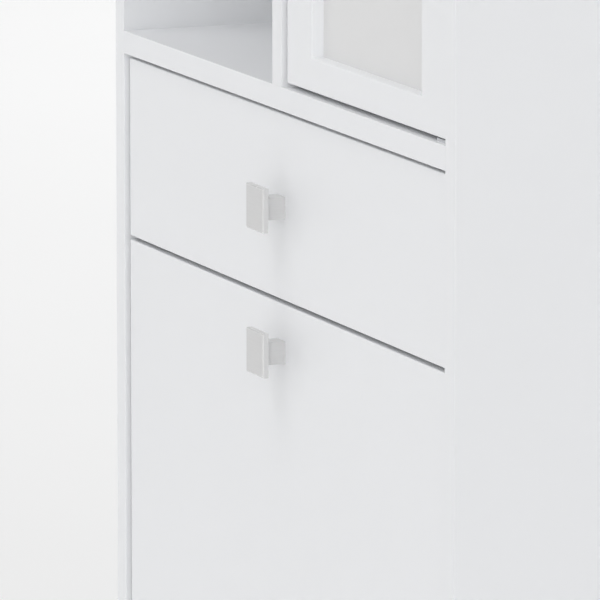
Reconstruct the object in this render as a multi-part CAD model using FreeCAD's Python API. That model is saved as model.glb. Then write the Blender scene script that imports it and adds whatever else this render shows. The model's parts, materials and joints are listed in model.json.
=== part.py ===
import FreeCAD, Part
import os
from collections import namedtuple
from FreeCAD import Vector

# Apothecary cabinet, millimetres. +X is the cabinet's right as seen from the front, +Z is up,
# and the front faces -Y. The origin is the middle of the footprint, on the floor.

# ---- overall -------------------------------------------------------------------------------
WIDTH = 600.0
HEIGHT = 1300.0
DEPTH = 350.0                 # side panels, front edge to back edge
BOARD = 16.0                  # thickness of every structural board and front
BACK_SHEET = 3.0
EDGE_RADIUS = 0.8             # eased edges of the fronts and the sliding boxes
CARCASS_EDGE_RADIUS = 0.3     # sharper edges of the carcass boards, which butt together

# ---- front layout --------------------------------------------------------------------------
PLINTH_HEIGHT = 70.0          # floor to underside of the bottom panel
PLINTH_SETBACK = 40.0
DRAWER_FRONT_HEIGHT = 125.0
UPPER_HEIGHT = 458.0          # clear height of the niche and of the cupboard
GAP = 3.0                     # joint round every front
RECESS = 3.0                  # fronts sit this far behind the panel edges

# ---- knobs ---------------------------------------------------------------------------------
KNOB_PLATE = 30.0
KNOB_PLATE_THICKNESS = 4.0
KNOB_CHAMFER = 0.5
KNOB_STEM = 15.0
KNOB_STEM_LENGTH = 15.0
KNOB_BORE_DEPTH = 9.0
PULLOUT_KNOB_DROP = 32.0      # knob centre below the top edge of the tall front
DOOR_KNOB_HEIGHT = 200.0      # knob centre above the lower edge of the door

# ---- glass door ----------------------------------------------------------------------------
DOOR_STILE = 43.0
DOOR_RAIL = 22.5
GLASS_SETBACK = 8.5           # door face to glass face
GLASS = 4.0
GLASS_LIP = 8.0               # frame overlap on the glass
GLASS_PLAY = 0.5
PIVOT_FROM_EDGE = 12.0        # pivot axis in from the hinge-side edge of the door
PIVOT_FROM_FACE = 7.0         # pivot axis behind the door face
PIVOT_RADIUS = 2.5
PIVOT_PLAY = 0.05
PIVOT_PLATE = 2.0
PIVOT_PLATE_WIDTH = 20.0
PIVOT_PLATE_LENGTH = 36.0
BUSH_RADIUS = 4.0
BUSH_LENGTH = 12.0
BUSH_FLANGE_RADIUS = 5.5

# ---- drawer and pull-out -------------------------------------------------------------------
BOX_BOARD = 12.0              # sides, inner fronts and backs of the two sliding boxes
BOX_REAR_ROOM = 28.0          # box back to back sheet
BOTTOM_SHEET = 4.0
BOTTOM_RAISE = 10.0           # lower edge of a box side to its bottom sheet
GROOVE = 5.0
DRAWER_BOX_RAISE = 15.0       # drawer front edge to box edge, below
DRAWER_BOX_DROP = 20.0        # the same, above
PULLOUT_BOX_RAISE = 11.0
PULLOUT_SIDE_HEIGHT = 90.0
PULLOUT_RACK_DROP = 60.0      # tall front's top edge to the rack's top edge
TRAY_BOARD = 12.0
RAIL_RADIUS = 4.0
RAIL_SEAT = 6.0               # blind seat of a gallery rail
RAIL_INSET = 12.0             # rail axis in from the end boards' edges
LOWER_RAIL_RISE = 45.0        # above the box side
TRAY_RAIL_RISES = (32.0, 74.0)    # above the middle tray

# ---- ball-bearing slides -------------------------------------------------------------------
SLIDE_WIDTH = 12.7            # cabinet side to box side
SLIDE_STEEL = 1.2
SLIDE_START = 2.0             # behind the inner face of the front
SLIDE_REAR = 8.0              # box back to slide end
SLIDE_HALF_HEIGHTS = {"outer": 22.7, "middle": 19.5, "inner": 16.5}
MIDDLE_WEB = 4.2              # cabinet side to the middle member's web
MIDDLE_FLANGE = 6.2
OUTER_FLANGE = 9.0
INNER_FLANGE = 5.7

# ---- fittings ------------------------------------------------------------------------------
PLAY = 0.05                   # radial room round a fastener
TIP_ROOM = 0.5                # room past a fastener's tip
CAM_RADIUS = 7.5
CAM_FLOOR = 3.5               # board left under a cam
CAM_REACH = 34.0              # board end to cam centre
CAM_BOLT_THREAD = 11.0
CAM_COVER = 1.0
CAM_COVER_RADIUS = 9.0
DOWEL_RADIUS = 4.0
DOWEL_IN_FACE = 10.0
DOWEL_IN_END = 20.0
CAM_INSETS = (72.0, 50.0)     # front edge to cam, back edge to cam
DOWEL_INSETS = (RECESS + PIVOT_PLATE_LENGTH + 10.0, 82.0)
DIVIDER_CAM_INSETS = (80.0, 90.0)
DIVIDER_DOWEL_INSETS = (50.0, 60.0)
REBATE = 8.0                  # back sheet's seat in the side panels
NAIL_PITCH = 110.0
GLIDE_HEIGHT = 4.0
GLIDE_RADIUS = 7.0
GLIDE_INSET = 30.0
SHELF_RISE = 236.0            # fixed shelf to the adjustable shelves' undersides
SHELF_SETBACK = 14.0          # behind the inner face of the door
SHELF_PLAY = 0.5
PIN_DEPTH = 6.0
PIN_REACH = 8.0
PIN_RADIUS = 2.45
PIN_COLLAR = 3.0
PIN_PITCH = 32.0
PIN_STEPS = (-2, -1, 0, 1, 2)
PIN_INSETS = (70.0, 60.0)
WALL_RAIL_HEIGHT = 70.0
WALL_HOLE_RADIUS = 2.75
WALL_HOLE_SPACING = 400.0
CATCH_WIDTH = 46.0
CATCH_HOUSING = 24.0
CATCH_DEPTH = 14.0
CATCH_HEIGHT = 12.0
CATCH_EAR = 3.0
CATCH_INSET = 14.0            # divider to catch
STRIKE = 1.0
STRIKE_HEIGHT = 12.0
CATCH_PLAY = 0.2

# ---- derived planes ------------------------------------------------------------------------
KNOB_REACH = KNOB_PLATE_THICKNESS + KNOB_STEM_LENGTH
KNOB_PROUD = KNOB_REACH - RECESS
Y_FRONT = (KNOB_PROUD - DEPTH) / 2
Y_BACK = Y_FRONT + DEPTH
Y_SHEET = Y_BACK - BACK_SHEET
Y_FACE = Y_FRONT + RECESS
Y_BOX = Y_FACE + BOARD        # inner face of the fronts, and front of the sliding boxes
X_OUT = WIDTH / 2
X_IN = X_OUT - BOARD
X_DIVIDER = BOARD / 2
Z_BOTTOM = PLINTH_HEIGHT + BOARD
Z_CEILING = HEIGHT - BOARD
Z_SHELF = Z_CEILING - UPPER_HEIGHT
Z_UNDER_SHELF = Z_SHELF - BOARD

DRAWER_Z = (Z_UNDER_SHELF - GAP - DRAWER_FRONT_HEIGHT, Z_UNDER_SHELF - GAP)
PULLOUT_Z = (Z_BOTTOM + GAP, DRAWER_Z[0] - GAP)
FRONT_X = (GAP - X_IN, X_IN - GAP)
FRONT_Y = (Y_FACE, Y_BOX)
DOOR_X = (X_DIVIDER + GAP, X_IN - GAP)
DOOR_Z = (Z_SHELF + GAP, Z_CEILING - GAP)
PIVOT_X = DOOR_X[1] - PIVOT_FROM_EDGE
PIVOT_Y = Y_FACE + PIVOT_FROM_FACE
Y_GLASS = Y_FACE + GLASS_SETBACK

BOX_X = X_IN - SLIDE_WIDTH    # outer faces of the sliding boxes
BOX_INNER_X = BOX_X - BOX_BOARD
BOX_BACK = Y_SHEET - BOX_REAR_ROOM
SLIDE_Y = (Y_BOX + SLIDE_START, BOX_BACK - SLIDE_REAR)
BOX_CLEAR_Y = (Y_BOX + BOX_BOARD, BOX_BACK - BOX_BOARD)

Box = namedtuple("Box", "low side_top end_top")
DRAWER_BOX = Box(DRAWER_Z[0] + DRAWER_BOX_RAISE, DRAWER_Z[1] - DRAWER_BOX_DROP,
                 DRAWER_Z[1] - DRAWER_BOX_DROP)
PULLOUT_LOW = PULLOUT_Z[0] + PULLOUT_BOX_RAISE
PULLOUT_BOX = Box(PULLOUT_LOW, PULLOUT_LOW + PULLOUT_SIDE_HEIGHT,
                  PULLOUT_Z[1] - PULLOUT_RACK_DROP)
TRAY_Z = (PULLOUT_BOX.low + PULLOUT_BOX.end_top) / 2      # underside of the middle tray

SIDES = {"left": -1, "right": 1}

# A fastener's shank runs from its seat along its direction, and its head stands behind the seat.
Fastener = namedtuple("Fastener", "seat direction length radius head_radius head_height")
CORNER_SCREW = dict(length=30.0, radius=2.0, head_radius=3.5, head_height=2.5)
FIXING_SCREW = dict(length=21.0, radius=2.0, head_radius=3.5, head_height=2.5)
SLIDE_SCREW = dict(length=10.0, radius=1.6, head_radius=3.2, head_height=1.8)
FITTING_SCREW = dict(length=12.0, radius=1.5, head_radius=2.8, head_height=1.4)
KNOB_SCREW = dict(radius=2.0, head_radius=4.0, head_height=2.5)
NAIL = dict(length=14.0, radius=0.7, head_radius=1.8, head_height=0.7)


# ---- helpers -------------------------------------------------------------------------------
def block(x, y, z):
    """Plain block between three (low, high) pairs."""
    size = (x[1] - x[0], y[1] - y[0], z[1] - z[0])
    return Part.makeBox(*size, Vector(x[0], y[0], z[0]))


def ordered(a, b):
    return (min(a, b), max(a, b))


def rod(start, direction, length, radius):
    return Part.makeCylinder(radius, length, start, direction)


def edges_in_plane(solid, axis, value, along=None):
    """Straight edges lying in the plane axis = value, kept to one direction if along is given."""
    found = []
    for edge in solid.Edges:
        ends = [vertex.Point for vertex in edge.Vertexes]
        in_plane = all(abs(point[axis] - value) < 1e-6 for point in ends)
        run = ends[-1] - ends[0]
        if in_plane and (along is None or abs(run[along]) > 1e-6):
            found.append(edge)
    return found


def eased_all_round(x, y, z):
    """Board with every edge eased, as a lacquered front is."""
    solid = block(x, y, z)
    return solid.makeFillet(EDGE_RADIUS, solid.Edges)


def eased_in_front(x, y, z, along):
    """Board with the two long edges of its front eased."""
    solid = block(x, y, z)
    return solid.makeFillet(CARCASS_EDGE_RADIUS, edges_in_plane(solid, 1, y[0], along))


def fastener_solid(item):
    shank = rod(item.seat, item.direction, item.length, item.radius)
    if not item.head_height:
        return shank
    start = item.seat - item.direction * item.head_height
    head = rod(start, item.direction, item.head_height, item.head_radius)
    return head.fuse(shank).removeSplitter()


def fastener_room(item):
    """The hole a fastener needs, head included."""
    room = rod(item.seat, item.direction, item.length + TIP_ROOM, item.radius + PLAY)
    if not item.head_height:
        return room
    start = item.seat - item.direction * item.head_height
    head = rod(start, item.direction, item.head_height, item.head_radius + PLAY)
    return head.fuse(room)


def drilled(solid, items):
    """The solid with room made for each fastener that reaches into it."""
    rooms = [fastener_room(item) for item in items]
    near = [room for room in rooms if room.BoundBox.intersect(solid.BoundBox)]
    return solid.cut(near) if near else solid


def group(items):
    return Part.makeCompound([fastener_solid(item) for item in items])


def from_front_and_back(insets, back=Y_SHEET):
    """Two places along the depth: one in from the front edge, one in from the back edge."""
    return (Y_FRONT + insets[0], back - insets[1])


# ---- where the fasteners go ----------------------------------------------------------------
def carcass_ends():
    """(point, direction) where a horizontal board's end meets a side panel, at half thickness."""
    for low in (PLINTH_HEIGHT, Z_UNDER_SHELF, Z_CEILING):
        for side in SIDES.values():
            yield Vector(side * X_IN, 0, low + BOARD / 2), Vector(side, 0, 0)


def divider_ends():
    yield Vector(0, 0, Z_SHELF), Vector(0, 0, -1)
    yield Vector(0, 0, Z_CEILING), Vector(0, 0, 1)


def shifted(point, dx=0.0, dy=0.0, dz=0.0):
    return point + Vector(dx, dy, dz)


def cam_bolt_places():
    shape = dict(length=CAM_BOLT_THREAD, radius=2.5, head_radius=3.2, head_height=CAM_REACH)
    for point, direction in carcass_ends():
        for y in from_front_and_back(CAM_INSETS):
            yield Fastener(shifted(point, dy=y), direction, **shape)
    for point, direction in divider_ends():
        for y in from_front_and_back(DIVIDER_CAM_INSETS):
            yield Fastener(shifted(point, dy=y), direction, **shape)


def cam_lock_places():
    """Each cam sits on its bolt's inner end, let into the board's hidden face."""
    shape = dict(length=BOARD - CAM_FLOOR, radius=CAM_RADIUS, head_radius=0, head_height=0)
    for bolt in CAM_BOLTS:
        centre = bolt.seat - bolt.direction * CAM_REACH
        if bolt.direction.x:
            yield Fastener(shifted(centre, dz=-BOARD / 2), Vector(0, 0, 1), **shape)
        else:
            yield Fastener(shifted(centre, dx=BOARD / 2), Vector(-1, 0, 0), **shape)


def dowel(point, direction):
    start = point - direction * DOWEL_IN_END
    return Fastener(start, direction, DOWEL_IN_END + DOWEL_IN_FACE, DOWEL_RADIUS, 0, 0)


def dowel_places():
    for point, direction in carcass_ends():
        for y in from_front_and_back(DOWEL_INSETS):
            yield dowel(shifted(point, dy=y), direction)
    for point, direction in divider_ends():
        for y in from_front_and_back(DIVIDER_DOWEL_INSETS):
            yield dowel(shifted(point, dy=y), direction)
    for side in SIDES.values():
        for height in (BOARD, PLINTH_HEIGHT - BOARD):
            yield dowel(Vector(side * X_IN, PLINTH_MID, height), Vector(side, 0, 0))
        for height in WALL_RAIL_DOWELS:
            yield dowel(Vector(side * X_IN, WALL_RAIL_MID, height), Vector(side, 0, 0))


def nail_places():
    """Nails through the back sheet, up the side panels and across the horizontal boards."""
    y = Y_BACK - NAIL["head_height"]
    x_edge = X_IN + REBATE / 2
    rows = [(x, PLINTH_HEIGHT + BOARD / 2, Z_CEILING + BOARD / 2) for x in (-x_edge, x_edge)]
    for x, low, high in rows:
        count = round((high - low) / NAIL_PITCH)
        for step in range(count + 1):
            yield Fastener(Vector(x, y, low + (high - low) * step / count), Vector(0, -1, 0), **NAIL)
    count = round(2 * X_IN / NAIL_PITCH)
    for low in (PLINTH_HEIGHT, Z_UNDER_SHELF, Z_CEILING):
        for step in range(1, count):
            x = X_IN * (2 * step / count - 1)
            yield Fastener(Vector(x, y, low + BOARD / 2), Vector(0, -1, 0), **NAIL)


def pin_columns():
    """(point, direction) of each column of shelf-pin holes, at the shelf's own height."""
    z = Z_SHELF + SHELF_RISE - PIN_COLLAR
    for x, direction in ((-X_IN, -1), (-X_DIVIDER, 1), (X_DIVIDER, -1), (X_IN, 1)):
        for y in from_front_and_back(PIN_INSETS):
            yield Vector(x, y, z), Vector(direction, 0, 0)


def shelf_pin_places():
    for point, direction in pin_columns():
        yield Fastener(point, direction, PIN_DEPTH, PIN_RADIUS, PIN_COLLAR, PIN_REACH)


def spare_pin_holes():
    for point, direction in pin_columns():
        for step in PIN_STEPS:
            yield Fastener(shifted(point, dz=step * PIN_PITCH), direction, PIN_DEPTH, PIN_RADIUS, 0, 0)


def glide_places():
    for side in SIDES.values():
        for y in (Y_FRONT + GLIDE_INSET, Y_BACK - GLIDE_INSET):
            seat = Vector(side * (X_IN + BOARD / 2), y, GLIDE_HEIGHT)
            yield Fastener(seat, Vector(0, 0, 1), 14.0, 1.2, GLIDE_RADIUS, GLIDE_HEIGHT)


def slide_screw_ys():
    margin = 30.0
    return (SLIDE_Y[0] + margin, sum(SLIDE_Y) / 2, SLIDE_Y[1] - margin)


def slide_mid(box):
    return (box.low + box.side_top) / 2


def cabinet_screw_places():
    """Screws that hold the slides, the door pivots and the catch to the carcass."""
    for box in (DRAWER_BOX, PULLOUT_BOX):
        for side in SIDES.values():
            for y in slide_screw_ys():
                seat = Vector(side * (X_IN - SLIDE_STEEL), y, slide_mid(box))
                yield Fastener(seat, Vector(side, 0, 0), **SLIDE_SCREW)
    for y in (Y_BOX + 6.0, Y_BOX + 15.0):
        for z, up in ((Z_SHELF, -1), (Z_CEILING, 1)):
            seat = Vector(PIVOT_X, y, z - up * (PIVOT_PLATE - FITTING_SCREW["head_height"]))
            yield Fastener(seat, Vector(0, 0, up), **FITTING_SCREW)
    ear = (CATCH_WIDTH + CATCH_HOUSING) / 4
    for side in SIDES.values():
        seat = Vector(CATCH_X + side * ear, CATCH_Y + CATCH_DEPTH / 2, Z_CEILING - CATCH_EAR)
        yield Fastener(seat, Vector(0, 0, 1), **FITTING_SCREW)


def box_screw_places(box):
    """Corner screws, front fixing screws and slide screws of one sliding box."""
    head = CORNER_SCREW["head_height"]
    for side in SIDES.values():
        for y in (Y_BOX + BOX_BOARD / 2, BOX_BACK - BOX_BOARD / 2):
            for z in (box.low + 20.0, box.side_top - 10.0):
                seat = Vector(side * (BOX_X - head), y, z)
                yield Fastener(seat, Vector(-side, 0, 0), **CORNER_SCREW)
        for z in (box.low + 30.0, box.end_top - 18.0):
            seat = Vector(side * (BOX_INNER_X - 45.0), Y_BOX + BOX_BOARD - head, z)
            yield Fastener(seat, Vector(0, -1, 0), **FIXING_SCREW)
        for y in slide_screw_ys():
            seat = Vector(side * (BOX_X + SLIDE_STEEL), y, slide_mid(box))
            yield Fastener(seat, Vector(-side, 0, 0), **SLIDE_SCREW)


def tray_screw_places():
    """Screws through the rack's end boards into the middle tray."""
    head = CORNER_SCREW["head_height"]
    for side in SIDES.values():
        x = side * BOX_INNER_X / 2
        z = TRAY_Z + TRAY_BOARD / 2
        yield Fastener(Vector(x, Y_BOX + head, z), Vector(0, 1, 0), **CORNER_SCREW)
        yield Fastener(Vector(x, BOX_BACK - head, z), Vector(0, -1, 0), **CORNER_SCREW)


def knob_screw(x, y_seat, z):
    """Screw from behind a front, of the length that fills the knob's bore."""
    length = y_seat - Y_FACE + KNOB_BORE_DEPTH - 1.0
    return Fastener(Vector(x, y_seat, z), Vector(0, -1, 0), length, **KNOB_SCREW)


def rail_places():
    """Gallery rails: one over each box side, and a pair at each side of the middle tray."""
    start = BOX_CLEAR_Y[0] - RAIL_SEAT
    length = BOX_CLEAR_Y[1] - BOX_CLEAR_Y[0] + 2 * RAIL_SEAT
    heights = [PULLOUT_BOX.side_top + LOWER_RAIL_RISE]
    heights += [TRAY_Z + TRAY_BOARD + rise for rise in TRAY_RAIL_RISES]
    for side in SIDES.values():
        for z in heights:
            seat = Vector(side * (BOX_INNER_X - RAIL_INSET), start, z)
            yield Fastener(seat, Vector(0, 1, 0), length, RAIL_RADIUS, 0, 0)


def bush_places():
    for z, up in ((DOOR_Z[0], 1), (DOOR_Z[1], -1)):
        flange = GAP - PIVOT_PLATE - 2 * PIVOT_PLAY
        yield Fastener(Vector(PIVOT_X, PIVOT_Y, z), Vector(0, 0, up), BUSH_LENGTH, BUSH_RADIUS,
                       BUSH_FLANGE_RADIUS, flange)


PLINTH_MID = Y_FRONT + PLINTH_SETBACK + BOARD / 2
WALL_RAIL_MID = Y_SHEET - BOARD / 2
WALL_RAIL_Z = Z_UNDER_SHELF - WALL_RAIL_HEIGHT
WALL_RAIL_DOWELS = (WALL_RAIL_Z + BOARD, Z_UNDER_SHELF - BOARD)
CATCH_X = X_DIVIDER + CATCH_INSET + CATCH_WIDTH / 2
CATCH_Y = Y_BOX + STRIKE + CATCH_PLAY

CAM_BOLTS = list(cam_bolt_places())
CAM_LOCKS = list(cam_lock_places())
DOWELS = list(dowel_places())
NAILS = list(nail_places())
SHELF_PINS = list(shelf_pin_places())
PIN_HOLES = list(spare_pin_holes())
GLIDES = list(glide_places())
CABINET_SCREWS = list(cabinet_screw_places())
DRAWER_SCREWS = list(box_screw_places(DRAWER_BOX))
PULLOUT_SCREWS = list(box_screw_places(PULLOUT_BOX)) + list(tray_screw_places())
RAILS = list(rail_places())
BUSHES = list(bush_places())
CARCASS_FIXINGS = CAM_BOLTS + CAM_LOCKS + DOWELS + NAILS + PIN_HOLES + GLIDES + CABINET_SCREWS

DRAWER_KNOB = Vector(0, Y_FACE, sum(DRAWER_Z) / 2)
PULLOUT_KNOB = Vector(0, Y_FACE, PULLOUT_Z[1] - PULLOUT_KNOB_DROP)
DOOR_KNOB = Vector(DOOR_X[0] + DOOR_STILE / 2, Y_FACE, DOOR_Z[0] + DOOR_KNOB_HEIGHT)
DRAWER_KNOB_SCREW = knob_screw(DRAWER_KNOB.x, Y_BOX + BOX_BOARD, DRAWER_KNOB.z)
PULLOUT_KNOB_SCREW = knob_screw(PULLOUT_KNOB.x, Y_BOX, PULLOUT_KNOB.z)
DOOR_KNOB_SCREW = knob_screw(DOOR_KNOB.x, Y_BOX, DOOR_KNOB.z)


# ---- carcass -------------------------------------------------------------------------------
def side_panel(side):
    x = ordered(side * X_IN, side * X_OUT)
    solid = block(x, (Y_FRONT, Y_BACK), (GLIDE_HEIGHT, HEIGHT))
    edges = edges_in_plane(solid, 1, Y_FRONT, along=2)
    edges += edges_in_plane(solid, 2, HEIGHT, along=1)
    solid = solid.makeFillet(CARCASS_EDGE_RADIUS, edges)
    rebate = block(ordered(side * X_IN, side * (X_IN + REBATE)), (Y_SHEET, Y_BACK),
                   (PLINTH_HEIGHT, HEIGHT))
    return drilled(solid.cut(rebate), CARCASS_FIXINGS)


def carcass_board(low):
    """Horizontal board between the side panels, its underside at the given height."""
    solid = eased_in_front((-X_IN, X_IN), (Y_FRONT, Y_SHEET), (low, low + BOARD), along=0)
    return drilled(solid, CARCASS_FIXINGS)


def divider_panel():
    solid = eased_in_front((-X_DIVIDER, X_DIVIDER), (Y_FRONT, Y_SHEET), (Z_SHELF, Z_CEILING), along=2)
    return drilled(solid, CARCASS_FIXINGS)


def plinth_board():
    y = (PLINTH_MID - BOARD / 2, PLINTH_MID + BOARD / 2)
    return drilled(block((-X_IN, X_IN), y, (GLIDE_HEIGHT, PLINTH_HEIGHT)), DOWELS)


def wall_holes():
    """The two screw holes that tie the cabinet to a wall."""
    z = (WALL_RAIL_Z + Z_UNDER_SHELF) / 2
    length = BOARD + BACK_SHEET + 2.0
    starts = [Vector(side * WALL_HOLE_SPACING / 2, Y_BACK + 1.0, z) for side in SIDES.values()]
    return [rod(start, Vector(0, -1, 0), length, WALL_HOLE_RADIUS) for start in starts]


def wall_rail():
    y = (Y_SHEET - BOARD, Y_SHEET)
    solid = block((-X_IN, X_IN), y, (WALL_RAIL_Z, Z_UNDER_SHELF))
    return drilled(solid, DOWELS).cut(wall_holes())


def back_panel():
    reach = X_IN + REBATE - GLASS_PLAY
    solid = block((-reach, reach), (Y_SHEET, Y_BACK), (PLINTH_HEIGHT, HEIGHT - CARCASS_EDGE_RADIUS))
    return drilled(solid, NAILS).cut(wall_holes())


def loose_shelf(low_x, high_x):
    """Adjustable shelf resting on its four pins."""
    z = Z_SHELF + SHELF_RISE
    x = (low_x + SHELF_PLAY, high_x - SHELF_PLAY)
    y = (Y_BOX + SHELF_SETBACK, Y_SHEET - SHELF_PLAY)
    return eased_in_front(x, y, (z, z + BOARD), along=0)


def cam_locks():
    """Cams with the room for their bolts and a cross slot in the face."""
    cams = []
    for item in CAM_LOCKS:
        cam = drilled(fastener_solid(item), CAM_BOLTS)
        slots = []
        for long_z in (False, True):
            reach = [4.5, 4.5, 4.5]
            normal = 2 if item.direction.z else 0
            reach[normal] = 2.0
            narrow = 1 if long_z else 2 - normal
            reach[narrow] = 0.7
            ranges = [(item.seat[axis] - reach[axis], item.seat[axis] + reach[axis])
                      for axis in range(3)]
            slots.append(block(*ranges))
        cams.append(cam.cut(slots))
    return Part.makeCompound(cams)


def cam_covers():
    covers = []
    for item in CAM_LOCKS:
        start = item.seat - item.direction * CAM_COVER
        disc = rod(start, item.direction, CAM_COVER, CAM_COVER_RADIUS)
        rim = [edge for edge in disc.Edges if edge.isClosed() and
               abs((edge.CenterOfMass - start).dot(item.direction)) < 1e-6]
        covers.append(disc.makeChamfer(0.4, rim))
    return Part.makeCompound(covers)


# ---- door fittings on the carcass ----------------------------------------------------------
def door_pivots():
    """Upper and lower plates, each with its riveted pivot pin."""
    pins = []
    y = (Y_FACE + 1.0, Y_FACE + 1.0 + PIVOT_PLATE_LENGTH)
    x = (PIVOT_X - PIVOT_PLATE_WIDTH / 2, PIVOT_X + PIVOT_PLATE_WIDTH / 2)
    for z, up in ((Z_SHELF, 1), (Z_CEILING, -1)):
        plate = block(x, y, ordered(z, z + up * PIVOT_PLATE))
        plate = plate.makeFillet(3.0, [edge for edge in plate.Edges
                                       if abs(edge.tangentAt(edge.FirstParameter).z) > 0.5])
        pin_length = GAP + BUSH_LENGTH - 1.0
        pin = rod(Vector(PIVOT_X, PIVOT_Y, z), Vector(0, 0, up), pin_length, PIVOT_RADIUS)
        pins.append(drilled(plate.fuse(pin).removeSplitter(), CABINET_SCREWS))
    return Part.makeCompound(pins)


def magnetic_catch():
    x = (CATCH_X - CATCH_HOUSING / 2, CATCH_X + CATCH_HOUSING / 2)
    y = (CATCH_Y, CATCH_Y + CATCH_DEPTH)
    housing = block(x, y, (Z_CEILING - CATCH_HEIGHT, Z_CEILING))
    wide = (CATCH_X - CATCH_WIDTH / 2, CATCH_X + CATCH_WIDTH / 2)
    ears = block(wide, y, (Z_CEILING - CATCH_EAR, Z_CEILING))
    return drilled(housing.fuse(ears).removeSplitter(), CABINET_SCREWS)


# ---- glass door ----------------------------------------------------------------------------
def door_opening(margin, y):
    """Block over the door's glass opening, larger by the margin on all four sides."""
    x = (DOOR_X[0] + DOOR_STILE - margin, DOOR_X[1] - DOOR_STILE + margin)
    z = (DOOR_Z[0] + DOOR_RAIL - margin, DOOR_Z[1] - DOOR_RAIL + margin)
    return block(x, y, z)


def door_frame():
    solid = eased_all_round(DOOR_X, FRONT_Y, DOOR_Z)
    solid = solid.cut(door_opening(0.0, (Y_FACE - 1.0, Y_BOX + 1.0)))
    inside = door_opening(0.0, FRONT_Y).BoundBox
    rim = [edge for edge in edges_in_plane(solid, 1, Y_FACE)
           if inside.XMin - 1 < edge.CenterOfMass.x < inside.XMax + 1
           and inside.ZMin - 1 < edge.CenterOfMass.z < inside.ZMax + 1]
    solid = solid.makeFillet(EDGE_RADIUS, rim)
    solid = solid.cut(door_opening(GLASS_LIP, (Y_GLASS, Y_BOX + 1.0)))
    return drilled(solid, BUSHES + [DOOR_KNOB_SCREW])


def door_glass():
    return door_opening(GLASS_LIP - GLASS_PLAY, (Y_GLASS, Y_GLASS + GLASS))


def glass_beads():
    """Four strips that hold the glass in its rebate from behind."""
    y = (Y_GLASS + GLASS, Y_BOX)
    outer = door_opening(GLASS_LIP - PLAY, y).BoundBox
    inner = door_opening(0.0, y).BoundBox
    beads = []
    for x in ((outer.XMin, inner.XMin), (inner.XMax, outer.XMax)):
        beads.append(block(x, y, (outer.ZMin, outer.ZMax)))
    for z in ((outer.ZMin, inner.ZMin), (inner.ZMax, outer.ZMax)):
        beads.append(block((inner.XMin, inner.XMax), y, z))
    return Part.makeCompound(beads)


def door_bushes():
    """Flanged sleeves in the door's lower and upper edges."""
    sleeves = []
    for item in BUSHES:
        start = item.seat - item.direction * (item.head_height + 1.0)
        bore = rod(start, item.direction, BUSH_LENGTH + GAP + 1.0, PIVOT_RADIUS + PIVOT_PLAY)
        sleeves.append(fastener_solid(item).cut(bore))
    return Part.makeCompound(sleeves)


def strike_plate():
    x = (CATCH_X - CATCH_HOUSING / 2, CATCH_X + CATCH_HOUSING / 2)
    z = (DOOR_Z[1] - EDGE_RADIUS - STRIKE_HEIGHT, DOOR_Z[1] - EDGE_RADIUS)
    return block(x, (Y_BOX, Y_BOX + STRIKE), z)


# ---- knobs ---------------------------------------------------------------------------------
def knob(point, screw):
    """Square plate on a square stem, drilled from behind for its screw."""
    half = KNOB_PLATE / 2
    y_plate = point.y - KNOB_REACH
    plate = block((point.x - half, point.x + half), (y_plate, y_plate + KNOB_PLATE_THICKNESS),
                  (point.z - half, point.z + half))
    plate = plate.makeChamfer(KNOB_CHAMFER, edges_in_plane(plate, 1, y_plate))
    half = KNOB_STEM / 2
    stem = block((point.x - half, point.x + half), (y_plate + KNOB_PLATE_THICKNESS, point.y),
                 (point.z - half, point.z + half))
    return drilled(plate.fuse(stem).removeSplitter(), [screw])


# ---- sliding boxes -------------------------------------------------------------------------
def sliding_front(z, fixings):
    return drilled(eased_all_round(FRONT_X, FRONT_Y, z), fixings)


def bottom_sheet(box):
    """Bottom sheet, held in grooves in the sides and the inner front and fixed under the back."""
    reach = BOX_INNER_X + GROOVE - PLAY
    low = box.low + BOTTOM_RAISE
    y = (BOX_CLEAR_Y[0] - GROOVE + PLAY, BOX_BACK)
    return block((-reach, reach), y, (low, low + BOTTOM_SHEET))


def groove(box):
    reach = BOX_INNER_X + GROOVE
    low = box.low + BOTTOM_RAISE
    return block((-reach, reach), (BOX_CLEAR_Y[0] - GROOVE, BOX_BACK + 1.0), (low, low + BOTTOM_SHEET))


def box_side(box, side, fixings):
    x = ordered(side * BOX_INNER_X, side * BOX_X)
    solid = block(x, (Y_BOX, BOX_BACK), (box.low, box.side_top))
    solid = solid.makeFillet(EDGE_RADIUS, edges_in_plane(solid, 2, box.side_top, along=1))
    return drilled(solid.cut(groove(box)), fixings)


def inner_front(box, fixings):
    x = (-BOX_INNER_X, BOX_INNER_X)
    solid = block(x, (Y_BOX, Y_BOX + BOX_BOARD), (box.low, box.end_top))
    solid = solid.makeFillet(EDGE_RADIUS, edges_in_plane(solid, 2, box.end_top, along=0))
    return drilled(solid.cut(groove(box)), fixings)


def box_back(box, fixings):
    x = (-BOX_INNER_X, BOX_INNER_X)
    low = box.low + BOTTOM_RAISE + BOTTOM_SHEET
    solid = block(x, (BOX_BACK - BOX_BOARD, BOX_BACK), (low, box.end_top))
    solid = solid.makeFillet(EDGE_RADIUS, edges_in_plane(solid, 2, box.end_top, along=0))
    return drilled(solid, fixings)


def middle_tray():
    x = (-BOX_INNER_X, BOX_INNER_X)
    solid = block(x, BOX_CLEAR_Y, (TRAY_Z, TRAY_Z + TRAY_BOARD))
    edges = edges_in_plane(solid, 0, x[0], along=1) + edges_in_plane(solid, 0, x[1], along=1)
    return drilled(solid.makeFillet(EDGE_RADIUS, edges), PULLOUT_SCREWS)


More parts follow.
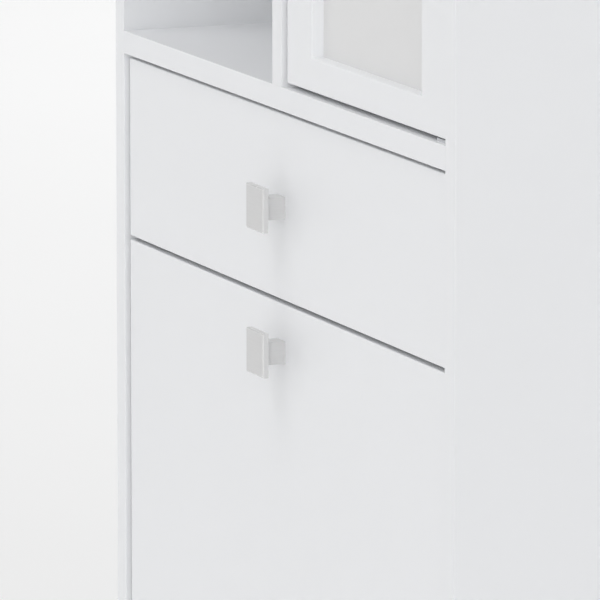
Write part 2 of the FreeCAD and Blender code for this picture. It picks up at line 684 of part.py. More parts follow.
# ---- ball-bearing slides -------------------------------------------------------------------
def slide_member(kind, side, box, fixings=()):
    """One channel of a slide: a web parallel to the cabinet side, and two flanges."""
    webs = {"outer": (0.0, OUTER_FLANGE), "middle": (MIDDLE_WEB, MIDDLE_FLANGE),
            "inner": (SLIDE_WIDTH - SLIDE_STEEL, SLIDE_STEEL - INNER_FLANGE)}
    start, flange = webs[kind]
    half = SLIDE_HALF_HEIGHTS[kind]
    mid = slide_mid(box)

    def across(low, high):
        return ordered(side * (X_IN - low), side * (X_IN - high))

    solid = block(across(start, start + SLIDE_STEEL), SLIDE_Y, (mid - half, mid + half))
    for z in ((mid - half, mid - half + SLIDE_STEEL), (mid + half - SLIDE_STEEL, mid + half)):
        solid = solid.fuse(block(across(start, start + flange), SLIDE_Y, z))
    return drilled(solid.removeSplitter(), fixings)


# ---- all sub-parts -------------------------------------------------------------------------
def sub_parts():
    drawer_holes = DRAWER_SCREWS + [DRAWER_KNOB_SCREW]
    pullout_holes = PULLOUT_SCREWS + RAILS + [PULLOUT_KNOB_SCREW]
    made = {
        "top_panel": carcass_board(Z_CEILING),
        "middle_shelf": carcass_board(Z_UNDER_SHELF),
        "bottom_panel": carcass_board(PLINTH_HEIGHT),
        "divider_panel": divider_panel(),
        "plinth_board": plinth_board(),
        "wall_rail": wall_rail(),
        "back_panel": back_panel(),
        "niche_shelf": loose_shelf(-X_IN, -X_DIVIDER),
        "cupboard_shelf": loose_shelf(X_DIVIDER, X_IN),
        "shelf_pins": group(SHELF_PINS),
        "cam_locks": cam_locks(),
        "cam_bolts": group(CAM_BOLTS),
        "cam_covers": cam_covers(),
        "wood_dowels": group(DOWELS),
        "back_panel_nails": group(NAILS),
        "floor_glides": group(GLIDES),
        "cabinet_screws": group(CABINET_SCREWS),
        "door_pivots": door_pivots(),
        "magnetic_catch": magnetic_catch(),
        "door_frame": door_frame(),
        "door_glass": door_glass(),
        "glass_beads": glass_beads(),
        "door_bushes": door_bushes(),
        "strike_plate": strike_plate(),
        "door_knob": knob(DOOR_KNOB, DOOR_KNOB_SCREW),
        "door_knob_screw": fastener_solid(DOOR_KNOB_SCREW),
        "drawer_front": sliding_front(DRAWER_Z, drawer_holes),
        "drawer_inner_front": inner_front(DRAWER_BOX, drawer_holes),
        "drawer_back": box_back(DRAWER_BOX, drawer_holes),
        "drawer_bottom": bottom_sheet(DRAWER_BOX),
        "drawer_screws": group(DRAWER_SCREWS),
        "drawer_knob": knob(DRAWER_KNOB, DRAWER_KNOB_SCREW),
        "drawer_knob_screw": fastener_solid(DRAWER_KNOB_SCREW),
        "pullout_front": sliding_front(PULLOUT_Z, pullout_holes),
        "pullout_inner_front": inner_front(PULLOUT_BOX, pullout_holes),
        "pullout_back": box_back(PULLOUT_BOX, pullout_holes),
        "pullout_bottom": bottom_sheet(PULLOUT_BOX),
        "middle_tray": middle_tray(),
        "gallery_rails": group(RAILS),
        "pullout_screws": group(PULLOUT_SCREWS),
        "pullout_knob": knob(PULLOUT_KNOB, PULLOUT_KNOB_SCREW),
        "pullout_knob_screw": fastener_solid(PULLOUT_KNOB_SCREW),
    }
    boxes = {"drawer": (DRAWER_BOX, DRAWER_SCREWS), "pullout": (PULLOUT_BOX, PULLOUT_SCREWS)}
    for hand, side in SIDES.items():
        made["side_panel_" + hand] = side_panel(side)
        for name, (box, screws) in boxes.items():
            made[f"{name}_side_{hand}"] = box_side(box, side, screws)
            made[f"{name}_slide_outer_{hand}"] = slide_member("outer", side, box, CABINET_SCREWS)
            made[f"{name}_slide_middle_{hand}"] = slide_member("middle", side, box)
            made[f"{name}_slide_inner_{hand}"] = slide_member("inner", side, box, screws)
    return made


os.makedirs("parts", exist_ok=True)
for node, shape in sub_parts().items():
    shape.exportStep(f"parts/{node}.step")
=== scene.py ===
import json
import math
from collections import namedtuple
import bpy
import bmesh
from mathutils import Matrix, Vector


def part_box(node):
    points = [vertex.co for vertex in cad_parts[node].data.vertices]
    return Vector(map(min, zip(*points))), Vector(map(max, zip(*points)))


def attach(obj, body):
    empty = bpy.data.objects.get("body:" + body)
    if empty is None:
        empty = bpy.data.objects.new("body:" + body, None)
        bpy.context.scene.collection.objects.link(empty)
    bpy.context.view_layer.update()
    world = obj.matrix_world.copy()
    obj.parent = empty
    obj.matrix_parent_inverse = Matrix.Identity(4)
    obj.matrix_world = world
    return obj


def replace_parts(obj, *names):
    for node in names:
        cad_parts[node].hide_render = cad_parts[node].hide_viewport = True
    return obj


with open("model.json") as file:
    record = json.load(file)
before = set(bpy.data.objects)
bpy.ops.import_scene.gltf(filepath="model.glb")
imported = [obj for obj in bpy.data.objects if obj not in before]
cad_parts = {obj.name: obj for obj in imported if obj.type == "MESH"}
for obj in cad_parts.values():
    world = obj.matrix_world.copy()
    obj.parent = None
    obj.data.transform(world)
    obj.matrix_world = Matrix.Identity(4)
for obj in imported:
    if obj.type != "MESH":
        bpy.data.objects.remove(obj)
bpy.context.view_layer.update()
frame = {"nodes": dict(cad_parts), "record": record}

MM = 0.001      # one millimetre in the scene's metres
NODES = frame["nodes"]
BODY_OF = {node: body for body, nodes in frame["record"]["behaviour"]["bodies"].items()
           for node in nodes}
SLOT_OF = {row["node"]: row["material_slot"] for row in frame["record"]["subparts"]}


# ---- camera --------------------------------------------------------------------------------
VIEW_AZIMUTH = 67.86           # degrees
VIEW_ELEVATION = 9.9           # degrees
CAMERA_DISTANCE = 5.268
LENS = 477.94                  # mm, as the sensor
SENSOR = 36.0
VIEW_REACH = 100.0
AIM_RIGHT = 41.0 * MM          # of the cabinet's middle
AIM_ABOVE_DRAWER = 6.2 * MM    # above the drawer front's lower edge


def aim_point():
    """Low on the drawer front, in the plane of the side panels' front edges."""
    panel_low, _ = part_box("side_panel_left")
    drawer_low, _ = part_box("drawer_front")
    return Vector((AIM_RIGHT, panel_low.y, drawer_low.z + AIM_ABOVE_DRAWER))


def away(azimuth, elevation):
    """Direction from the cabinet, in degrees: azimuth 0 is straight in front, 90 at its right."""
    turn = math.radians(azimuth)
    rise = math.radians(elevation)
    return Vector((math.sin(turn) * math.cos(rise), -math.cos(turn) * math.cos(rise), math.sin(rise)))


def make_camera():
    data = bpy.data.cameras.new("camera")
    data.lens = LENS
    data.sensor_width = SENSOR
    data.clip_end = VIEW_REACH
    camera = bpy.data.objects.new("camera", data)
    back = away(VIEW_AZIMUTH, VIEW_ELEVATION)
    camera.location = aim_point() + back * CAMERA_DISTANCE
    camera.rotation_euler = back.to_track_quat("Z", "Y").to_euler()
    bpy.context.scene.collection.objects.link(camera)
    bpy.context.scene.camera = camera


# ---- light and floor -----------------------------------------------------------------------
HORIZON_GLOW = 0.74
SKY_GLOW = 0.365
GLOW_HEIGHT = 0.35             # sine of the elevation where the horizon's glow has faded out
FLOOR_HALF = 14.0
LIGHT_TARGET = Vector((0.0, 0.0, 0.7))
# Angles in degrees, distance and size in metres, power in watts.
Light = namedtuple("Light", "name azimuth elevation distance size power")
LIGHTS = (
    Light("right_fill", 68.0, 12.0, 10.0, 6.0, 236.0),
    Light("upper_right", 35.0, 35.0, 10.0, 5.0, 62.0),
    Light("left_key", -50.0, 18.0, 10.0, 4.5, 99.0),
    Light("overhead", 0.0, 65.0, 10.0, 6.0, 256.0),
    Light("rear_left", -124.0, 31.0, 8.4, 6.0, 240.0),
    Light("right_rear", 110.0, 20.0, 10.0, 6.0, 42.0),
)


def make_light(light):
    data = bpy.data.lights.new(light.name, "AREA")
    data.shape = "SQUARE"
    data.size = light.size
    data.energy = light.power
    lamp = bpy.data.objects.new(light.name, data)
    back = away(light.azimuth, light.elevation)
    lamp.location = LIGHT_TARGET + back * light.distance
    lamp.rotation_euler = back.to_track_quat("Z", "Y").to_euler()
    lamp.visible_camera = False
    bpy.context.scene.collection.objects.link(lamp)


def make_studio():
    """White surroundings, brightest at the horizon, and the large soft lights."""
    scene = bpy.context.scene
    scene.view_settings.view_transform = "Standard"
    world = bpy.data.worlds.new("studio")
    world.use_nodes = True
    tree = world.node_tree
    background = tree.nodes["Background"]
    background.inputs["Color"].default_value = (1.0, 1.0, 1.0, 1.0)
    direction = tree.nodes.new("ShaderNodeSeparateXYZ")
    sky = tree.nodes.new("ShaderNodeTexCoord")
    tree.links.new(sky.outputs["Generated"], direction.inputs["Vector"])
    glow = tree.nodes.new("ShaderNodeMapRange")
    glow.interpolation_type = "SMOOTHSTEP"
    glow.inputs["From Max"].default_value = GLOW_HEIGHT
    glow.inputs["To Min"].default_value = HORIZON_GLOW
    glow.inputs["To Max"].default_value = SKY_GLOW
    tree.links.new(direction.outputs["Z"], glow.inputs["Value"])
    tree.links.new(glow.outputs["Result"], background.inputs["Strength"])
    scene.world = world
    for light in LIGHTS:
        make_light(light)


def make_floor():
    mesh = bpy.data.meshes.new("floor")
    corners = [(x * FLOOR_HALF, y * FLOOR_HALF, 0.0) for x, y in ((-1, -1), (1, -1), (1, 1), (-1, 1))]
    mesh.from_pydata(corners, [], [(0, 1, 2, 3)])
    floor = bpy.data.objects.new("floor", mesh)
    bpy.context.scene.collection.objects.link(floor)
    material = Surface("studio_floor", (0.93, 0.93, 0.93), roughness=0.9)
    material.tint(scale=0.6, amount=0.01)
    mesh.materials.append(material.material)


# ---- materials -----------------------------------------------------------------------------
LACQUER_WHITE = (0.876, 0.885, 0.901)
FOIL_WHITE = (0.78, 0.78, 0.79)


class Surface:
    """A Principled material whose colour, roughness and relief come from noise in real size."""

    def __init__(self, name, colour, **settings):
        self.material = bpy.data.materials.new(name)
        self.material.use_nodes = True
        self.tree = self.material.node_tree
        self.shader = self.tree.nodes["Principled BSDF"]
        self.colour = colour
        self.shader.inputs["Base Color"].default_value = (*colour, 1.0)
        for key, value in settings.items():
            socket = key.replace("_", " ").title().replace("Ior", "IOR")
            self.shader.inputs[socket].default_value = value
        self.place = self.tree.nodes.new("ShaderNodeTexCoord").outputs["Object"]

    def node(self, kind, **settings):
        made = self.tree.nodes.new(kind)
        for key, value in settings.items():
            setattr(made, key, value)
        return made

    def stretched(self, scale):
        mapping = self.node("ShaderNodeMapping")
        mapping.inputs["Scale"].default_value = scale
        self.tree.links.new(self.place, mapping.inputs["Vector"])
        return mapping.outputs["Vector"]

    def noise(self, scale, detail=2.0, stretch=None):
        texture = self.node("ShaderNodeTexNoise")
        texture.inputs["Scale"].default_value = scale
        texture.inputs["Detail"].default_value = detail
        place = self.stretched(stretch) if stretch else self.place
        self.tree.links.new(place, texture.inputs["Vector"])
        return texture.outputs["Fac"]

    def ranged(self, value, low, high, source=(0.3, 0.7)):
        span = self.node("ShaderNodeMapRange")
        span.inputs["From Min"].default_value, span.inputs["From Max"].default_value = source
        span.inputs["To Min"].default_value = low
        span.inputs["To Max"].default_value = high
        self.tree.links.new(value, span.inputs["Value"])
        return span.outputs["Result"]

    def mixed(self, factor, first, second):
        mix = self.node("ShaderNodeMix", data_type="RGBA")
        self.tree.links.new(factor, mix.inputs[0])
        for socket, colour in ((mix.inputs[6], first), (mix.inputs[7], second)):
            if isinstance(colour, tuple):
                socket.default_value = (*colour, 1.0)
            else:
                self.tree.links.new(colour, socket)
        return mix.outputs[2]

    def paint(self, colour):
        self.tree.links.new(colour, self.shader.inputs["Base Color"])

    def tint(self, scale, amount, stretch=None):
        """Slow change of lightness over the surface, by the amount either way."""
        factor = self.ranged(self.noise(scale, 3.0, stretch), 0.0, 1.0)
        dark = tuple(part * (1.0 - amount) for part in self.colour)
        light = tuple(min(1.0, part * (1.0 + amount)) for part in self.colour)
        self.paint(self.mixed(factor, dark, light))

    def gloss(self, scale, low, high, stretch=None):
        """Roughness that varies from low to high."""
        value = self.ranged(self.noise(scale, stretch=stretch), low, high)
        self.tree.links.new(value, self.shader.inputs["Roughness"])

    def relief(self, height, depth, strength=1.0):
        bump = self.node("ShaderNodeBump")
        bump.inputs["Strength"].default_value = strength
        bump.inputs["Distance"].default_value = depth
        self.tree.links.new(height, bump.inputs["Height"])
        self.tree.links.new(bump.outputs["Normal"], self.shader.inputs["Normal"])


def white_lacquer(name, roughness):
    """Sprayed lacquer: nearly even white with a fine orange-peel surface."""
    surface = Surface(name, LACQUER_WHITE, coat_weight=0.15, coat_roughness=0.3)
    surface.tint(scale=4.0, amount=0.006)
    surface.gloss(scale=35.0, low=roughness - 0.04, high=roughness + 0.04)
    surface.relief(surface.noise(420.0, detail=1.0), 0.02 * MM, strength=0.4)
    return surface.material


def satin_metal():
    """Die-cast knob, plated and finely brushed."""
    surface = Surface("satin_metal", (0.69, 0.69, 0.69), metallic=0.05, specular_ior_level=0.1)
    surface.tint(scale=60.0, amount=0.015, stretch=(1.0, 1.0, 25.0))
    surface.gloss(scale=90.0, low=0.34, high=0.44, stretch=(1.0, 1.0, 20.0))
    surface.relief(surface.noise(700.0, stretch=(1.0, 1.0, 12.0)), 0.01 * MM, strength=0.5)
    return surface.material


def plated_steel():
    """Zinc-plated sheet and screws, slightly cloudy."""
    surface = Surface("plated_steel", (0.60, 0.61, 0.63), metallic=1.0)
    surface.tint(scale=45.0, amount=0.10)
    surface.gloss(scale=80.0, low=0.26, high=0.42)
    surface.relief(surface.noise(500.0), 0.01 * MM, strength=0.5)
    return surface.material


def bright_rail():
    """Polished chrome wire."""
    surface = Surface("bright_rail", (0.80, 0.81, 0.83), metallic=1.0)
    surface.tint(scale=30.0, amount=0.02)
    surface.gloss(scale=50.0, low=0.05, high=0.11)
    return surface.material


def satin_glass():
    """Etched glass that lets little light straight through."""
    surface = Surface("satin_glass", (0.86, 0.86, 0.86), transmission_weight=0.10, ior=1.45)
    surface.tint(scale=5.0, amount=0.01)
    surface.gloss(scale=60.0, low=0.50, high=0.60)
    surface.relief(surface.noise(900.0, detail=3.0), 0.02 * MM, strength=0.5)
    return surface.material


def moulded_plastic(name, colour):
    """Plastic with the fine texture of its mould."""
    surface = Surface(name, colour)
    surface.tint(scale=25.0, amount=0.03)
    surface.gloss(scale=60.0, low=0.42, high=0.55)
    surface.relief(surface.noise(1200.0), 0.02 * MM, strength=0.6)
    return surface.material


def beech():
    """Beech dowels, with their grain along X."""
    surface = Surface("beech", (0.55, 0.36, 0.20))
    grain = surface.ranged(surface.noise(120.0, 4.0, (0.08, 1.0, 1.0)), 0.0, 1.0)
    surface.paint(surface.mixed(grain, (0.45, 0.28, 0.15), (0.66, 0.47, 0.29)))
    surface.gloss(scale=90.0, low=0.5, high=0.7)
    surface.relief(grain, 0.05 * MM)
    return surface.material


def chipboard():
    """Raw core of a board: pale wood chips pressed flat."""
    surface = Surface("chipboard", (0.60, 0.46, 0.30))
    chips = surface.ranged(surface.noise(520.0, 5.0, (1.0, 1.0, 1.6)), 0.0, 1.0, source=(0.35, 0.65))
    surface.paint(surface.mixed(chips, (0.40, 0.28, 0.16), (0.74, 0.60, 0.42)))
    surface.gloss(scale=200.0, low=0.7, high=0.9)
    surface.relief(chips, 0.08 * MM, strength=0.7)
    return surface.material


def chamfer_polish_and_highlight():
    """Polished cut edge round the knob's face; its lighter colour is a painted highlight."""
    # Base colour lighter than the knob's: a painted highlight. The low roughness is the real polish.
    surface = Surface("chamfer_polish_and_highlight", (0.86, 0.86, 0.86), metallic=0.3)
    surface.tint(scale=80.0, amount=0.02)
    surface.gloss(scale=120.0, low=0.20, high=0.28)
    return surface.material


def white_sheet():
    """Hardboard: white foil towards the cabinet's inside and brown pressed fibre behind."""
    surface = Surface("white_sheet", FOIL_WHITE)
    fibre = surface.ranged(surface.noise(350.0, 5.0), 0.0, 1.0)
    brown = surface.mixed(fibre, (0.20, 0.12, 0.065), (0.36, 0.235, 0.135))
    facing = surface.node("ShaderNodeNewGeometry").outputs["Normal"]
    local = surface.node("ShaderNodeVectorTransform", vector_type="NORMAL",
                         convert_from="WORLD", convert_to="OBJECT")
    surface.tree.links.new(facing, local.inputs["Vector"])
    parts = surface.node("ShaderNodeSeparateXYZ")
    surface.tree.links.new(local.outputs["Vector"], parts.inputs["Vector"])
    behind = surface.ranged(parts.outputs["Y"], 0.0, 1.0, source=(0.2, 0.6))
    surface.paint(surface.mixed(behind, FOIL_WHITE, brown))
    surface.gloss(scale=40.0, low=0.5, high=0.65)
    surface.relief(fibre, 0.03 * MM, strength=0.4)
    return surface.material


def make_materials():
    return {
        "white_board": white_lacquer("white_board", roughness=0.42),
        "white_front": white_lacquer("white_front", roughness=0.36),
        "white_sheet": white_sheet(),
        "satin_metal": satin_metal(),
        "plated_steel": plated_steel(),
        "bright_rail": bright_rail(),
        "satin_glass": satin_glass(),
        "white_plastic": moulded_plastic("white_plastic", (0.78, 0.78, 0.78)),
        "grey_plastic": moulded_plastic("grey_plastic", (0.20, 0.205, 0.21)),
        "beech": beech(),
        "chipboard": chipboard(),
        "chamfer_polish_and_highlight": chamfer_polish_and_highlight(),
    }


# ---- meshes --------------------------------------------------------------------------------
WELD = 0.002 * MM
TOUCH = 0.001 * MM


def finished(name, bm, slot, body, smooth=35.0):
    """Piece made from a bmesh, with its finish, riding on its body.

    Edges that turn by more than smooth degrees stay sharp.
    """
    bmesh.ops.remove_doubles(bm, verts=bm.verts, dist=WELD)
    bmesh.ops.recalc_face_normals(bm, faces=bm.faces)
    mesh = bpy.data.meshes.new(name)
    bm.to_mesh(mesh)
    bm.free()
    mesh.shade_smooth()
    mesh.set_sharp_from_angle(angle=math.radians(smooth))
    mesh.materials.append(MATERIALS[slot])
    piece = bpy.data.objects.new(name, mesh)
    bpy.context.scene.collection.objects.link(piece)
    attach(piece, body)
    return piece


def loop_edges(bm, loop):
    """The edges of a closed loop of corners."""
    return [bm.edges.new((loop[step - 1], loop[step])) for step in range(len(loop))]


def turned(bm, place, profile, segments=20):
    """Rings of a turned shape along the local Z axis, closed at its far end.

    The profile is (distance, radius) from the near end to the far end.
    """
    rings = []
    turns = [2.0 * math.pi * step / segments for step in range(segments)]
    for distance, radius in profile:
        points = [Vector((radius * math.cos(turn), radius * math.sin(turn), distance)) for turn in turns]
        rings.append([bm.verts.new(place @ point) for point in points])
    for near, far in zip(rings, rings[1:]):
        for step in range(segments):
            bm.faces.new((near[step - 1], near[step], far[step], far[step - 1]))
    bm.faces.new(rings[-1])
    return rings


# ---- screws and nails ----------------------------------------------------------------------
Fastener = namedtuple("Fastener", "place length head_radius head_height shank_radius")
SCREW_NODES = ("cabinet_screws", "drawer_screws", "pullout_screws", "drawer_knob_screw",
               "pullout_knob_screw", "door_knob_screw")
NAIL_NODE = "back_panel_nails"
# Shares of the thread's radius, of the head's sizes or of the recess's reach.
THREAD_PITCH = 0.9
THREAD_CORE = 0.74
POINT_LENGTH = 1.5
RECESS_REACH = 0.5
RECESS_DEPTH = 0.62
RECESS_ARM = 0.26
RECESS_FLOOR = 0.7


def solids_in(node):
    """The corner points of each separate solid in a CAD node."""
    bm = bmesh.new()
    bm.from_mesh(NODES[node].data)
    bmesh.ops.remove_doubles(bm, verts=bm.verts, dist=TOUCH)
    solids = []
    for first in bm.verts:
        if first.tag:
            continue
        first.tag = True
        found = [first]
        for vert in found:
            for edge in vert.link_edges:
                other = edge.other_vert(vert)
                if not other.tag:
                    other.tag = True
                    found.append(other)
        solids.append([vert.co.copy() for vert in found])
    bm.free()
    return solids


def read_fastener(points):
    """Where a headed solid stands: local Z runs from the top of its head to its tip."""
    low = [min(point[axis] for point in points) for axis in range(3)]
    high = [max(point[axis] for point in points) for axis in range(3)]
    along = max(range(3), key=lambda axis: high[axis] - low[axis])
    centre = Vector([(a + b) / 2 for a, b in zip(low, high)])

    def radius(point):
        offset = point - centre
        offset[along] = 0.0
        return offset.length

    def widest(level):
        return max(radius(point) for point in points if abs(point[along] - level) < 10 * TOUCH)

    tip, top = sorted((low[along], high[along]), key=widest)
    direction = Vector((0.0, 0.0, 0.0))
    direction[along] = math.copysign(1.0, tip - top)
    start = centre.copy()
    start[along] = top
    head_radius = widest(top)
    rim = [abs(point[along] - top) for point in points if radius(point) > 0.98 * head_radius]
    turn = direction.to_track_quat("Z", "Y").to_matrix().to_4x4()
    return Fastener(Matrix.Translation(start) @ turn, abs(tip - top), head_radius, max(rim), widest(tip))


def cross_recess(bm, rim, place, reach, depth):
    """Closes a screw's top around a cross-shaped recess with sloping walls."""
    narrow = RECESS_ARM * reach
    corners = []
    for quarter in range(4):
        turn = Matrix.Rotation(quarter * math.pi / 2, 4, "Z")
        corners += [turn @ Vector(point) for point in
                    ((reach, -narrow, 0.0), (reach, narrow, 0.0), (narrow, narrow, 0.0))]
    mouth = [bm.verts.new(place @ corner) for corner in corners]
    sunk = Vector((0.0, 0.0, depth))
    floor = [bm.verts.new(place @ (corner * RECESS_FLOOR + sunk)) for corner in corners]
    edges = loop_edges(bm, mouth)
    edges += [bm.edges.get((rim[step - 1], rim[step])) for step in range(len(rim))]
    bmesh.ops.triangle_fill(bm, use_beauty=True, edges=edges)
    for step in range(len(mouth)):
        bm.faces.new((mouth[step - 1], mouth[step], floor[step], floor[step - 1]))
    bm.faces.new(floor)


def screw(bm, item):
    """Pan-head screw with a cross recess, a ridged shank and a point."""
    head, wide = item.head_height, item.head_radius
    thread = item.shank_radius
    core = THREAD_CORE * thread
    pitch = THREAD_PITCH * thread
    tip = item.length - POINT_LENGTH * thread
    profile = [(0.0, 0.78 * wide), (0.10 * head, 0.90 * wide), (0.28 * head, 0.98 * wide),
               (0.45 * head, wide), (0.92 * head, wide), (head, 0.94 * wide), (head, thread)]
    for ridge in range(int((tip - head) / pitch) - 1):
        foot = head + pitch * (ridge + 1)
        profile += [(foot, core), (foot + 0.45 * pitch, thread), (foot + 0.6 * pitch, thread)]
    profile += [(tip, core), (item.length, 0.08 * thread)]
    rings = turned(bm, item.place, profile)
    cross_recess(bm, rings[0], item.place, RECESS_REACH * wide, RECESS_DEPTH * head)


def nail(bm, item):
    """Flat-headed panel nail, its head slightly crowned."""
    head, wide = item.head_height, item.head_radius
    shank = item.shank_radius
    profile = [(0.0, 0.55 * wide), (0.12 * head, 0.88 * wide), (0.4 * head, wide), (head, wide),
               (head, shank), (item.length - 2.0 * shank, shank), (item.length, 0.1 * shank)]
    rings = turned(bm, item.place, profile, segments=16)
    bm.faces.new(rings[0])


def make_fasteners():
    for node, items in FASTENERS.items():
        bm = bmesh.new()
        shape = nail if node == NAIL_NODE else screw
        for item in items:
            shape(bm, item)
        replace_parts(finished(node + "_detailed", bm, SLOT_OF[node], BODY_OF[node]), node)


# ---- door catch ----------------------------------------------------------------------------
POLE_HEIGHTS = (2.4 * MM, 6.0 * MM)    # above the housing's underside
POLE_THICKNESS = 1.2 * MM
POLE_INSET = 3.0 * MM
CATCH_PROUD = 0.05 * MM                # of the pole plates, and of the strike plate's screw
STRIKE_SCREW = dict(length=8.0 * MM, head_radius=2.2 * MM, head_height=0.5 * MM, shank_radius=0.8 * MM)


def plate(bm, low, high, bevel):
    """Flat bar with eased edges."""
    place = Matrix.Translation((low + high) / 2) @ Matrix.Diagonal((*(high - low), 1.0))
    made = bmesh.ops.create_cube(bm, size=1.0, matrix=place)
    edges = {edge for vert in made["verts"] for edge in vert.link_edges}
    bmesh.ops.bevel(bm, geom=list(edges), offset=bevel, segments=2, affect="EDGES", profile=0.5)


def make_catch():
    """The magnet's two steel pole plates, and the strike plate with its screw."""
    strike_low, strike_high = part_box("strike_plate")
    catch_low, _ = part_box("magnetic_catch")
    poles = bmesh.new()
    for up in POLE_HEIGHTS:
        low = Vector((strike_low.x + POLE_INSET, catch_low.y - CATCH_PROUD,
                      catch_low.z + up - POLE_THICKNESS / 2))
        high = Vector((strike_high.x - POLE_INSET, catch_low.y + POLE_INSET,
                       catch_low.z + up + POLE_THICKNESS / 2))
        plate(poles, low, high, 0.15 * MM)
    finished("catch_pole_plates", poles, "plated_steel", "root")
    strike = bmesh.new()
    plate(strike, strike_low, strike_high, 0.25 * MM)
    head = (strike_low + strike_high) / 2
    head.y = strike_high.y + CATCH_PROUD
    into_door = Matrix.Translation(head) @ Matrix.Rotation(math.pi / 2, 4, "X")
    screw(strike, Fastener(into_door, **STRIKE_SCREW))
    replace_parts(finished("strike_plate_screwed", strike, "plated_steel", "door"), "strike_plate")


# ---- ball-bearing slides -------------------------------------------------------------------
SHEET = 1.2 * MM               # thickness of a slide member
CAGE_SHEET = 0.4 * MM
BEND = 1.1 * MM                # radius of a bend, at the middle of the sheet
# Half an outline, from the upper lip to the web: (from the cabinet side, above the middle), in mm.
MEMBER_OUTLINES = {
    "outer": ((8.4, 20.6), (8.4, 22.1), (0.6, 22.1)),
    "middle": ((9.8, 17.7), (9.8, 18.9), (4.8, 18.9)),
    "inner": ((7.6, 15.9), (12.1, 15.9)),
}
CAGE_OUTLINES = {"outer_cage": ((7.2, 20.5), (3.6, 20.5)), "inner_cage": ((8.9, 17.4), (6.2, 17.4))}
CAGE_MARGIN = 4.0 * MM         # from a cage's end to the member's middle or end
BALL_RADII = {"outer_cage": 0.95 * MM, "inner_cage": 0.85 * MM}
BALL_PITCH = 9.0 * MM
BALL_INSET = 1.2               # mm, from a cage's lip to its balls
SLOT_HALF_LENGTH = 7.0 * MM
SLOT_RADIUS = 2.2 * MM
HOLE_CLEARANCE = 0.3 * MM
# Places of the web's slots, as shares of the member's length from its front end.
SLOT_PLACES = {"outer": (0.28, 0.42, 0.66, 0.80), "middle": (0.12, 0.5, 0.88),
               "inner": (0.30, 0.44, 0.62, 0.78)}


def rounded(points, radius, steps=4):
    """Open outline whose inner corners are arcs."""
    out = [points[0]]
    for before, corner, after in zip(points, points[1:], points[2:]):
        into = (corner - before).normalized()
        onward = (after - corner).normalized()
        turn = into.angle_signed(onward)
        reach = radius * math.tan(abs(turn) / 2)
        centre = corner - into * reach + Vector((-into.y, into.x)) * math.copysign(radius, -turn)
        spoke = corner - into * reach - centre
        for step in range(steps + 1):
            swing = Matrix.Rotation(-turn * step / steps, 2)
            out.append(centre + swing @ spoke)
    out.append(points[-1])
    return out


class SlideSpace:
    """Turns (from the cabinet side, along, above the middle) into a place on one slide."""

    def __init__(self, group, hand):
        self.low, self.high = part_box(f"{group}_slide_outer_{hand}")
        self.side = 1.0 if hand == "right" else -1.0
        self.wall = max(abs(self.low.x), abs(self.high.x))
        self.middle = (self.low.z + self.high.z) / 2

    def at(self, across, y, up):
        return Vector((self.side * (self.wall - across), y, self.middle + up))


def folded(bm, space, outline, ys, holes=()):
    """Sheet folded along Y to an outline. The holes, (y, up, half length, radius), are in its web."""
    half = [Vector(point) * MM for point in outline]
    path = rounded(half + [Vector((point.x, -point.y)) for point in reversed(half)], BEND)
    web = max(range(len(path) - 1), key=lambda step: abs(path[step + 1].y - path[step].y))
    front, rear = ys
    for step, (first, second) in enumerate(zip(path, path[1:])):
        corners = [bm.verts.new(space.at(point.x, y, point.y))
                   for point, y in ((first, front), (second, front), (second, rear), (first, rear))]
        if step != web:
            bm.faces.new(corners)
            continue
        edges = loop_edges(bm, corners)
        for y, up, half_length, radius in holes:
            edges += loop_edges(bm, hole_rim(bm, space, first.x, y, up, half_length, radius))
        bmesh.ops.triangle_fill(bm, use_beauty=True, edges=edges)


def hole_rim(bm, space, across, y, up, half_length, radius, steps=8):
    """Corners round a slot along Y, or round a hole where its half length is 0."""
    rim = []
    for end in (1.0, -1.0):
        for step in range(steps + 1):
            turn = math.pi * step / steps - math.pi / 2
            along = y + end * (half_length + radius * math.cos(turn))
            rim.append(bm.verts.new(space.at(across, along, up + end * radius * math.sin(turn))))
    if half_length == 0.0:
        bmesh.ops.remove_doubles(bm, verts=rim, dist=TOUCH)
        rim = [vert for vert in rim if vert.is_valid]
    return rim


def thicken(piece, thickness):
    """Gives folded sheet its thickness, and keeps the shading of its flat parts flat."""
    solid = piece.modifiers.new("sheet", "SOLIDIFY")
    solid.thickness = thickness
    solid.offset = 0.0
    solid.use_even_offset = True
    shading = piece.modifiers.new("flat webs", "WEIGHTED_NORMAL")
    shading.keep_sharp = True
    shading.weight = 100


def screw_holes(node, space):
    """Round holes in a member's web where its own screws pass through."""
    low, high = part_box(node)
    holes = []
    for items in FASTENERS.values():
        for item in items:
            seat = item.place @ Vector((0.0, 0.0, item.head_height))
            in_web = low.x - SHEET < seat.x < high.x + SHEET and low.z < seat.z < high.z
            if in_web and low.y < seat.y < high.y:
                holes.append((seat.y, seat.z - space.middle, 0.0, item.shank_radius + HOLE_CLEARANCE))
    return holes


def make_members(group, hand, space):
    for kind, outline in MEMBER_OUTLINES.items():
        node = f"{group}_slide_{kind}_{hand}"
        low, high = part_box(node)
        holes = [(low.y + share * (high.y - low.y), 0.0, SLOT_HALF_LENGTH, SLOT_RADIUS)
                 for share in SLOT_PLACES[kind]]
        holes += screw_holes(node, space)
        bm = bmesh.new()
        folded(bm, space, outline, (low.y, high.y), holes)
        piece = finished(node + "_rolled", bm, SLOT_OF[node], BODY_OF[node])
        thicken(piece, SHEET)
        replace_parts(piece, node)


def make_balls(name, body, space, outline, ys, radius):
    """Two rows of balls, in the upper and the lower lip of a cage."""
    bm = bmesh.new()
    front, rear = ys
    lip_across, lip_up = outline[0]
    across = (lip_across - BALL_INSET) * MM
    for step in range(int((rear - front) / BALL_PITCH)):
        y = front + BALL_PITCH * (step + 0.5)
        for up in (lip_up, -lip_up):
            spot = Matrix.Translation(space.at(across, y, up * MM))
            bmesh.ops.create_uvsphere(bm, u_segments=12, v_segments=8, radius=radius, matrix=spot)
    finished(name, bm, "bright_rail", body, smooth=60.0)


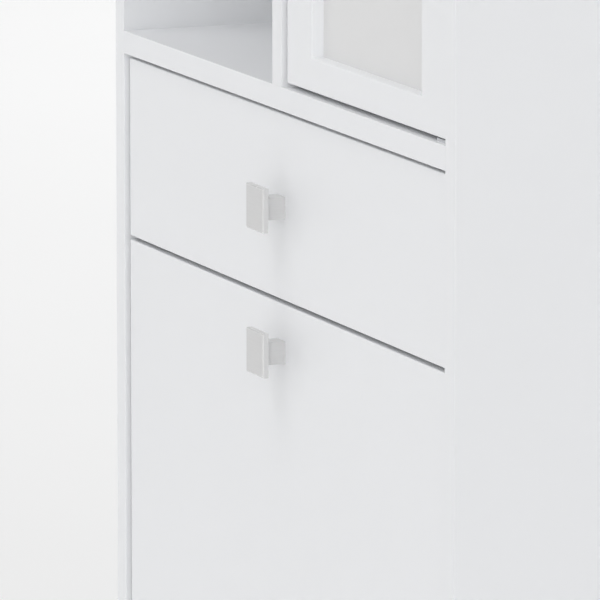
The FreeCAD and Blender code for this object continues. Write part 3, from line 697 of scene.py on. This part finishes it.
def make_cages(group, hand, space):
    """Ball cages, which ride with the middle member in its rear and its front half."""
    body = group + "_slide_middles"
    middle = (space.low.y + space.high.y) / 2
    spans = {"outer_cage": (middle + CAGE_MARGIN, space.high.y - CAGE_MARGIN),
             "inner_cage": (space.low.y + CAGE_MARGIN, middle - CAGE_MARGIN)}
    for kind, outline in CAGE_OUTLINES.items():
        bm = bmesh.new()
        folded(bm, space, outline, spans[kind])
        name = f"{group}_{kind}_{hand}"
        thicken(finished(name, bm, "plated_steel", body), CAGE_SHEET)
        make_balls(name + "_balls", body, space, outline, spans[kind], BALL_RADII[kind])


def make_slides():
    for group in ("drawer", "pullout"):
        for hand in ("left", "right"):
            space = SlideSpace(group, hand)
            make_members(group, hand, space)
            make_cages(group, hand, space)


# ---- finishes of the CAD pieces ------------------------------------------------------------
BOARD_SKIN = 0.9 * MM          # how far in from a board's box its core is bare
SQUARE_TO = 0.99               # least part of a face's normal along the axis that it faces


def dress(obj, material):
    """One finish over the whole object."""
    obj.data.materials.clear()
    obj.data.materials.append(material)


def also(obj, material, belongs):
    """Gives a second material to the polygons for which belongs(polygon) holds."""
    obj.data.materials.append(material)
    last = len(obj.data.materials) - 1
    for polygon in obj.data.polygons:
        if belongs(polygon):
            polygon.material_index = last


def show_core(node):
    """Raw chipboard in a board's drilled holes and grooves and on its rear and lower edges."""
    low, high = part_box(node)
    thin = min(range(3), key=lambda axis: high[axis] - low[axis])

    def is_raw(polygon):
        centre, normal = polygon.center, polygon.normal
        inside = all(low[axis] + BOARD_SKIN < centre[axis] < high[axis] - BOARD_SKIN
                     for axis in range(3))
        rear = thin != 1 and normal.y > SQUARE_TO
        lower = thin != 2 and normal.z < -SQUARE_TO
        return inside or rear or lower

    also(NODES[node], MATERIALS["chipboard"], is_raw)


def polish_and_highlight_chamfer(node):
    """Polishes the faces that slope towards the front, and paints a highlight on them with a lighter
    colour.
    """
    also(NODES[node], MATERIALS["chamfer_polish_and_highlight"],
         lambda polygon: -0.9 < polygon.normal.y < -0.5)


# ---- the scene -----------------------------------------------------------------------------
make_camera()
make_studio()
make_floor()
MATERIALS = make_materials()
FASTENERS = {node: [read_fastener(points) for points in solids_in(node)]
             for node in (*SCREW_NODES, NAIL_NODE)}
for node, obj in NODES.items():
    dress(obj, MATERIALS[SLOT_OF[node]])
    if SLOT_OF[node] == "white_board":
        show_core(node)
# Knob chamfers: real polish plus a painted highlight in a lighter colour.
for node in ("drawer_knob", "pullout_knob", "door_knob"):
    polish_and_highlight_chamfer(node)
make_fasteners()
make_catch()
make_slides()
